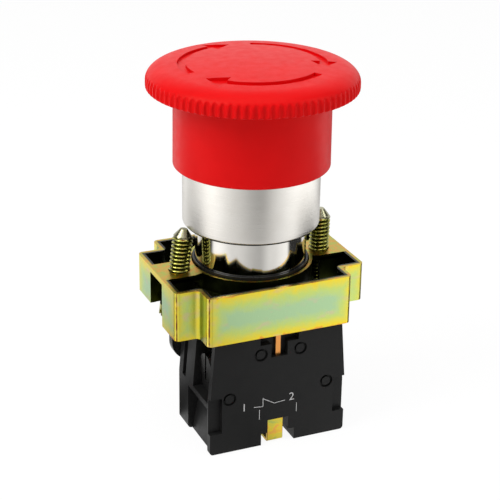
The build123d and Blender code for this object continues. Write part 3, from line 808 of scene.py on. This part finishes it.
def make_screw(side, material):
    """A threaded, pointed screw with a slotted head, leaning in the bridge."""
    count = int((SCREW_TOP - SCREW_FOOT) / SCREW_PITCH * SCREW_STEPS)
    bm = bmesh.new()
    crest = bm.verts.layers.float.new("crest")
    rings = []
    for k in range(count + 1):
        z = SCREW_FOOT + (SCREW_TOP - SCREW_FOOT) * k / count
        pointed = z > SCREW_TOP - SCREW_CONE
        ring = []
        for i in range(SCREW_SIDES):
            a = 2 * math.pi * i / SCREW_SIDES
            r = screw_radius(z, a)
            vert = bm.verts.new((*polar(r, a), z))
            vert[crest] = TIP_CREST if pointed else (r - SCREW_ROOT) / (SCREW_RADIUS - SCREW_ROOT)
            ring.append(vert)
        rings.append(ring)
    for lower, upper in zip(rings, rings[1:]):
        join_rings(bm, lower, upper)
    bm.faces.new(rings[-1])
    bm.faces.new(rings[0][::-1])
    add_slotted_head(bm, SCREW_FOOT, crest)
    place = Matrix.Translation((-SCREW_X if side == "left" else SCREW_X, 0, PLATE_TOP))
    lean = Matrix.Rotation(math.radians(SCREW_LEAN[side]), 4, "Y")
    bmesh.ops.transform(bm, matrix=place @ lean, verts=bm.verts)
    screw = to_object("screw_" + side, bm, 40)
    dress(screw, material)
    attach(screw, "housing")
    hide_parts("clamp_screw_" + side)


def inside_base(face):
    """Whether a face of the base, in millimetres, looks into it or under it; the base gives such
    faces its painted shade.
    """
    x, y, z = face.calc_center_median()
    x, y = abs(x), abs(y)
    if math.hypot(x, y) < COLLAR_RIM and z > PLATE_TOP - OUTSIDE_SLACK:
        return False
    if face.normal.z > 0.7:
        return z < PLATE_TOP - INSIDE_DEPTH
    if face.normal.z < -0.7:
        return z > low("mounting_base").z + INSIDE_DEPTH
    long, wide = high("mounting_base").x, high("mounting_base").y
    if x > BODY_HALF_LENGTH - OUTSIDE_SLACK and y > EAR_HALF_WIDTH - OUTSIDE_SLACK:
        return False
    return x < long - OUTSIDE_SLACK and y < wide - OUTSIDE_SLACK


def from_cad(name, node, body, materials, width=0.0, inside=None):
    """A dressed copy of a CAD node: welded, its flat faces joined and its sharp
    edges rounded by a width. The second material goes on the rounded edges, and
    the third on the faces that inside picks."""
    bm = bmesh.new()
    bm.from_mesh(nodes[node].data)
    bmesh.ops.scale(bm, vec=(1 / MM,) * 3, verts=bm.verts)
    bmesh.ops.remove_doubles(bm, verts=bm.verts, dist=0.002)
    bmesh.ops.dissolve_limit(
        bm, angle_limit=math.radians(0.5), verts=bm.verts, edges=bm.edges, delimit=set()
    )
    bm.normal_update()
    for face in bm.faces:
        face.material_index = 2 if inside and inside(face) else 0
    if width:
        sharp = [
            e for e in bm.edges
            if len(e.link_faces) == 2 and e.calc_face_angle(0) > math.radians(SHARP_ANGLE)
        ]
        bmesh.ops.bevel(
            bm, geom=sharp, offset=width, offset_type="OFFSET", segments=BEVEL_SEGMENTS,
            profile=0.6, affect="EDGES", clamp_overlap=True,
            material=1 if len(materials) > 1 else -1,
        )
    bm.normal_update()
    for face in bm.faces:
        if inside and face.material_index == 1 and inside(face):
            face.material_index = 2
    piece = to_object(name, bm)
    piece.modifiers.new("even", "WEIGHTED_NORMAL").keep_sharp = True
    piece.data = evaluated_mesh(piece)
    piece.modifiers.clear()
    dress(piece, *materials)
    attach(piece, body)
    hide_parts(node)
    return piece


def stretch_clip_foot(clip):
    """Widens the clip's strip to the left and bends its foot further back, as
    the photo shows them."""
    left, front, foot = low("fixing_clip")
    for vert in clip.data.vertices:
        x, y, z = vert.co / MM
        if x < left + CLIP_EDGE:
            vert.co.x -= CLIP_WIDER * MM
        if z < foot + CLIP_BEND_HEIGHT and y > front + CLIP_BEND_START:
            vert.co.y += CLIP_BEND * MM


def add_block(bm, x_span, y_span, z_span):
    """Adds a plain block between the ends of three spans."""
    size = [b - a for a, b in (x_span, y_span, z_span)]
    middle = [(a + b) / 2 for a, b in (x_span, y_span, z_span)]
    matrix = Matrix.Translation(middle) @ Matrix.Diagonal((*size, 1))
    bmesh.ops.create_cube(bm, size=1, matrix=matrix)


def make_bridge_flanges(material):
    """Folded edges under the bridge, which close the base's pockets, made in the near-black painted
    shade.
    """
    bm = bmesh.new()
    near, far = FLANGE_ENDS
    for side in (-1, 1):
        for edge in (-1, 1):
            x_span = sorted((side * near, side * far))
            y_span = sorted((edge * FLANGE_FACE, edge * (FLANGE_FACE - FLANGE_WALL)))
            add_block(bm, x_span, y_span, (PLATE_TOP - FLANGE_DEPTH, PLATE_TOP - FLANGE_GAP))
    flanges = to_object("bridge_flanges", bm)
    dress(flanges, material)
    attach(flanges, "housing")


def print_lines(name, lines, y, material):
    """Thin printed lines on the block's face, from pairs of points in X and Z."""
    bm = bmesh.new()
    for (x0, z0), (x1, z1) in lines:
        along = Vector((x1 - x0, 0, z1 - z0)).normalized()
        across = Vector((-along.z, 0, along.x)) * PRINT_LINE / 2
        start, end = Vector((x0, y, z0)), Vector((x1, y, z1))
        outline = [start - across, end - across, end + across, start + across]
        raise_face(bm, [bm.verts.new(point) for point in outline], (0, PRINT_DEPTH, 0))
    piece = to_object(name, bm)
    dress(piece, material)
    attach(piece, "housing")


def print_figure(name, text, x, z, y, material):
    """A printed figure on the block's face, from the plain built-in font."""
    data = bpy.data.curves.new(name, "FONT")
    data.body = text
    data.size = FIGURE_SIZE * MM
    data.extrude = FIGURE_DEPTH * MM
    data.offset = -FIGURE_THINNER * MM
    curve = new_object(name + "_curve", data)
    upright = Matrix.Rotation(math.pi / 2, 4, "X")
    curve.matrix_world = Matrix.Translation(Vector((x, y, z)) * MM) @ upright
    mesh = evaluated_mesh(curve)
    mesh.transform(curve.matrix_world)
    piece = new_object(name, mesh)
    bpy.data.objects.remove(curve)
    dress(piece, material)
    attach(piece, "housing")


def turn_share(n, vector):
    """Share of a turn round the object, 0.5 on the camera's side."""
    x, y, _ = n.split(vector)
    angle = n.math("ARCTAN2", x, n.math("MULTIPLY", y, -1.0))
    turned = n.math("ADD", angle, math.radians(CAMERA_AZIMUTH) + 3 * math.pi)
    return n.math("FRACT", n.math("DIVIDE", turned, 2 * math.pi))


def studio_brightness(n, vector, bands):
    """Brightness of the studio by azimuth round the object, as a share of its
    highest level, and that level."""
    share = turn_share(n, vector)
    top = max(level for _, level in bands)
    stops = [((azimuth + 180) / 360, (level / top,) * 3) for azimuth, level in bands]
    return n.ramp(share, stops, "EASE"), top


def make_world():
    world = bpy.data.worlds.new("studio")
    world.use_nodes = True
    n = Nodes(world.node_tree)
    direction = n.add("ShaderNodeTexCoord").outputs["Generated"]
    ring, top = studio_brightness(n, direction, SKY_BANDS)
    ray = n.add("ShaderNodeLightPath").outputs
    fill = n.add("ShaderNodeBackground", {"Color": (1, 1, 1, 1), "Strength": SKY_FILL})
    banded = n.add("ShaderNodeBackground", {"Color": ring, "Strength": top})
    white = n.add("ShaderNodeBackground", {"Color": (1, 1, 1, 1), "Strength": 1.0})
    lit = n.blend(ray["Is Glossy Ray"], fill.outputs[0], banded.outputs[0])
    seen = n.blend(ray["Is Camera Ray"], lit, white.outputs[0])
    n.add("ShaderNodeOutputWorld", {"Surface": seen})
    bpy.context.scene.world = world


def near_object(n, position):
    """1 on the floor close to the object, else 0."""
    return n.span(n.radius(position), PAINTED_CARD_REACH - PAINTED_CARD_SOFT, PAINTED_CARD_REACH + PAINTED_CARD_SOFT, 1, 0)


def painted_card_shade(n, position, near):
    """Share of light left on the floor as mirrors see it, less on the painted dark cards left and
    right of the object."""
    share = turn_share(n, position)
    dark = 0.0
    for start, end in PAINTED_CARDS:
        start, end = (start + 180) / 360, (end + 180) / 360
        rise = n.span(share, start - PAINTED_CARD_SEAM, start + PAINTED_CARD_SEAM)
        fall = n.span(share, end - PAINTED_CARD_SEAM, end + PAINTED_CARD_SEAM, 1, 0)
        dark = n.math("MAXIMUM", dark, n.math("MULTIPLY", rise, fall))
    return n.span(n.math("MULTIPLY", dark, near), 0, 1, 1, PAINTED_CARD_SHADE)


def make_floor():
    """White floor that the block stands on, with a faint soft shadow. Mirrors see the studio's bands
    painted in it, with painted dark cards close to the object."""
    bm = bmesh.new()
    bmesh.ops.create_grid(bm, x_segments=1, y_segments=1, size=FLOOR_SIZE / 2)
    mesh = bpy.data.meshes.new("floor")
    bm.to_mesh(mesh)
    bm.free()
    floor = new_object("floor", mesh)
    floor.location.z = cad_box[0].z - FLOOR_GAP
    material = bpy.data.materials.new("floor")
    material.use_nodes = True
    n = Nodes(material.node_tree)
    ray = n.add("ShaderNodeLightPath").outputs
    position = n.add("ShaderNodeNewGeometry").outputs["Position"]
    ring, top = studio_brightness(n, position, FLOOR_BANDS)
    grey = n.add("ShaderNodeBsdfDiffuse", {"Color": FLOOR_GREY}).outputs[0]
    white = n.add("ShaderNodeEmission", {"Color": (1, 1, 1, 1), "Strength": FLOOR_WHITE})
    near = near_object(n, position)
    near_level = (*(NEAR_LEVEL / top,) * 3, 1)
    level = n.mix(n.math("MULTIPLY", near, NEAR_SHARE), ring, near_level)
    strength = n.math("MULTIPLY", painted_card_shade(n, position, near), top)
    banded = n.add("ShaderNodeEmission", {"Color": level, "Strength": strength})
    lit = n.blend(ray["Is Glossy Ray"], grey, banded.outputs[0])
    bright = n.blend(FLOOR_WHITE_SHARE, grey, white.outputs[0])
    n.add("ShaderNodeOutputMaterial", {"Surface": n.blend(ray["Is Camera Ray"], lit, bright)})
    mesh.materials.append(material)


def softbox(name, azimuth, elevation, distance, width, height, power):
    """An area lamp that looks at the object, placed by azimuth from the camera,
    to the right, and elevation, in degrees."""
    data = bpy.data.lights.new(name, "AREA")
    data.shape = "RECTANGLE"
    data.size = width
    data.size_y = height
    data.energy = power
    lamp = new_object(name, data)
    a = math.radians(azimuth - CAMERA_AZIMUTH)
    e = math.radians(elevation)
    away = Vector((math.sin(a) * math.cos(e), -math.cos(a) * math.cos(e), math.sin(e)))
    lamp.location = away * distance
    lamp.rotation_mode = "QUATERNION"
    lamp.rotation_quaternion = away.to_track_quat("Z", "Y")


make_camera()
make_world()
make_floor()
softbox("key", -60, 42, 0.55, 0.30, 0.35, 2.1)
softbox("side", 75, 30, 0.55, 0.20, 0.40, 0.8)
softbox("top", 10, 80, 0.55, 0.45, 0.45, 1.2)

# Pieces that the photo shows
red = red_plastic()
gold = clip_chromate()
wall_gold = wall_chromate()
# Painted shade: near-black plating for the base's inner faces and the flanges under its bridge
painted_shade = painted_shade_chromate()
stain = edge_stain()
black = black_plastic("black_plastic")
ring_black = black_plastic("ring_black", 0.010, 0.28)
ink = print_ink()
make_cap(red)
make_bezel(satin_metal())
from_cad("barrel", "head_barrel", "housing", [mirror_metal()])
screw_metal = screw_chromate()
make_screw("left", screw_metal)
make_screw("right", screw_metal)
# The base's inner faces and the rounded edges beside them take the painted shade
base_materials = [wall_gold, stain, painted_shade]
from_cad("base", "mounting_base", "housing", base_materials, 0.12, inside=inside_base)
from_cad("block_front", "housing_front", "housing", [black], 0.12)
from_cad("block_rear", "housing_rear", "housing", [black], 0.12)
from_cad("ring", "locking_ring", "locking_ring", [ring_black], 0.15)
stretch_clip_foot(from_cad("clip", "fixing_clip", "housing", [gold, stain], 0.08))
make_bridge_flanges(painted_shade)

# CAD nodes that stay as they are, most of them inside the object
steel = plain_metal("steel", (0.62, 0.60, 0.56))
brass = plain_metal("brass", (0.70, 0.50, 0.25))
silver = plain_metal("silver", (0.75, 0.75, 0.73), 0.2)
inner = black_plastic("inner_plastic", 0.35, 0.45)
rubber = black_plastic("rubber", 0.015, 0.6)
# Painted shade: the terminal screws and clamps sit deep in the block's recess, so their steel is
# made near black
recess_shade_steel = plain_metal("recess_shade_steel", (0.04, 0.04, 0.035))
plain_nodes = [
    (steel, ["spindle", "spindle_clip", "latch_pin_left", "latch_pin_right"]),
    (steel, ["latch_springs", "return_spring", "twist_spring", "plunger_spring", "bridge_spring"]),
    (recess_shade_steel, ["terminal_clamp_left", "terminal_clamp_right"]),
    (recess_shade_steel, ["terminal_screw_left", "terminal_screw_right"]),
    (brass, ["contact_bridge", "fixed_contact_left", "fixed_contact_right"]),
    (silver, ["bridge_tips", "fixed_tips"]),
    (inner, ["turn_sleeve", "pusher", "contact_plunger"]),
    (rubber, ["sleeve_seal", "panel_gasket"]),
    (black, ["housing_dowels"]),
]
for material, names in plain_nodes:
    for name in names:
        dress(nodes[name], material)

# Springs that the button presses together, each given a mesh of its own
for name, joint in (("return_spring", "button_press"), ("plunger_spring", "contact_push")):
    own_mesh(nodes[name])

face_y = low("housing_front").y - PRINT_GAP
print_lines("contact_symbol", CONTACT_SYMBOL, face_y, ink)
for name, text, x, z in FIGURES:
    print_figure(name, text, x, z, face_y, ink)

bpy.context.scene.view_settings.view_transform = "Standard"
